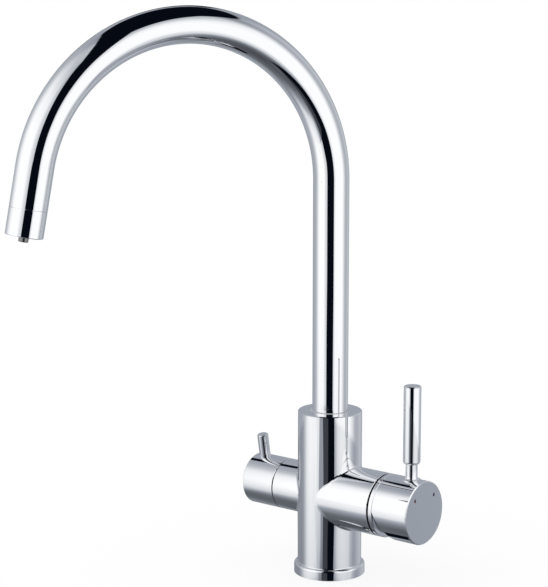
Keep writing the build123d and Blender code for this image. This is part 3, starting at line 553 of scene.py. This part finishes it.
rims.limit_method = "ANGLE"
rims.angle_limit = math.radians(60)
bpy.ops.object.modifier_apply(modifier="rims")
bpy.ops.object.shade_smooth_by_angle(angle=smooth_under)
plated_spout.data.materials.append(chrome)
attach(plated_spout, "spout")
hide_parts("spout_tube")

turned_brass = finish_of(
    "turned_brass", (0.78, 0.58, 0.30), 1.0, (0.16, 0.34), 0.0008, bump=0.000006
)
wear_finish(turned_brass, "swivel_ferrule")
wear_finish(seal_rubber, "swivel_seals")
pale_plastic = finish_of(
    "pale_plastic", (0.58, 0.59, 0.61), 0.0, (0.35, 0.50), 0.0009, bump=0.00001
)
wear_finish(pale_plastic, "wear_ring")
screw_steel = finish_of("screw_steel", (0.46, 0.46, 0.48), 1.0, (0.22, 0.40), 0.0005)
wear_finish(screw_steel, "spout_grub_screw")

# ---- Outlet and filtered water pipe --------------------------------------------------------------
# A plated collar on the end of the tube holds the moulded aerator. The filtered water keeps to a
# plastic pipe of its own, from a brass barb in the body to the small nozzle at the outlet.
plated_copy("outlet_collar", "plated_collar", "spout")
grey_plastic = finish_of(
    "grey_plastic", (0.30, 0.31, 0.33), 0.0, (0.35, 0.50), 0.0009, bump=0.00001
)
wear_finish(grey_plastic, "aerator_insert")
# The nozzle's plating carries a painted dark reflection: its colour is darkened far below bright
# plating to stand in for the dark surroundings it mirrors
nozzle_plating_painted_dark = finish_of("nozzle_plating_painted_dark", (0.26, 0.255, 0.25), 1.0, (0.18, 0.32), 0.002)
wear_finish(nozzle_plating_painted_dark, "pure_water_nozzle")
white_plastic = finish_of(
    "white_plastic", (0.78, 0.78, 0.76), 0.0, (0.35, 0.50), 0.0009, bump=0.00001
)
wear_finish(white_plastic, "pure_water_pipe")
wear_finish(turned_brass, "pure_water_barb")

# ---- Mixer cartridge -----------------------------------------------------------------------------
# A moulded case with two ceramic discs sits on rubber port seals in the right branch, and a brass
# nut holds it down. The steel spindle rocks on a pin in the carrier and pushes the upper disc.
wear_finish(white_plastic, "cartridge_base", "cartridge_case", "disc_driver", "spindle_carrier")
wear_finish(seal_rubber, "port_seals")
ceramic = finish_of("ceramic", (0.86, 0.86, 0.83), 0.0, (0.05, 0.10), 0.004, coat=0.5)
wear_finish(ceramic, "fixed_disc", "moving_disc")
wear_finish(screw_steel, "pivot_pin", "lever_spindle")
# The nut's brass is darkened as painted shade, so that the shadowed gap it sits in reads darker
nut_brass_painted_shade = finish_of("nut_brass_painted_shade", (0.22, 0.16, 0.09), 1.0, (0.35, 0.55), 0.0010, bump=0.00001)
wear_finish(nut_brass_painted_shade, "cartridge_nut")

# ---- Lever ---------------------------------------------------------------------------------------
# A turned and plated cap slides over the ball of the plated cover ring, which is screwed on the
# nut. It carries the neck and grip, screwed in, two drops of enamel, and a grub screw with a plug.
plated_copy("cover_ring", "plated_cover_ring", "tap_body")
plated_copy("lever_cap", "plated_cap", "lever")
plated_copy("lever_neck", "plated_neck", "lever")
plated_copy("lever_grip", "plated_grip", "lever")
wear_finish(screw_steel, "cap_grub_screw")
wear_finish(grey_plastic, "grub_plug")
hot_enamel = finish_of("hot_enamel", (0.085, 0.002, 0.006), 0.0, (0.30, 0.42), 0.001)
wear_finish(hot_enamel, "hot_mark")
cold_enamel = finish_of("cold_enamel", (0.002, 0.004, 0.055), 0.0, (0.30, 0.42), 0.001)
wear_finish(cold_enamel, "cold_mark")

# ---- Filtered water valve ------------------------------------------------------------------------
# A brass headwork with two ceramic discs is screwed into the left branch on a rubber seal. The knob
# is turned brass, plated, with its finger pin screwed in, and a grub screw holds it on the stem.
wear_finish(turned_brass, "headwork", "valve_stem")
wear_finish(seal_rubber, "headwork_seal")
wear_finish(ceramic, "valve_fixed_disc", "valve_moving_disc")
wear_finish(screw_steel, "knob_grub_screw")
plated_copy("filter_knob", "plated_knob", "filter_valve")
plated_copy("filter_pin", "plated_pin", "filter_valve")
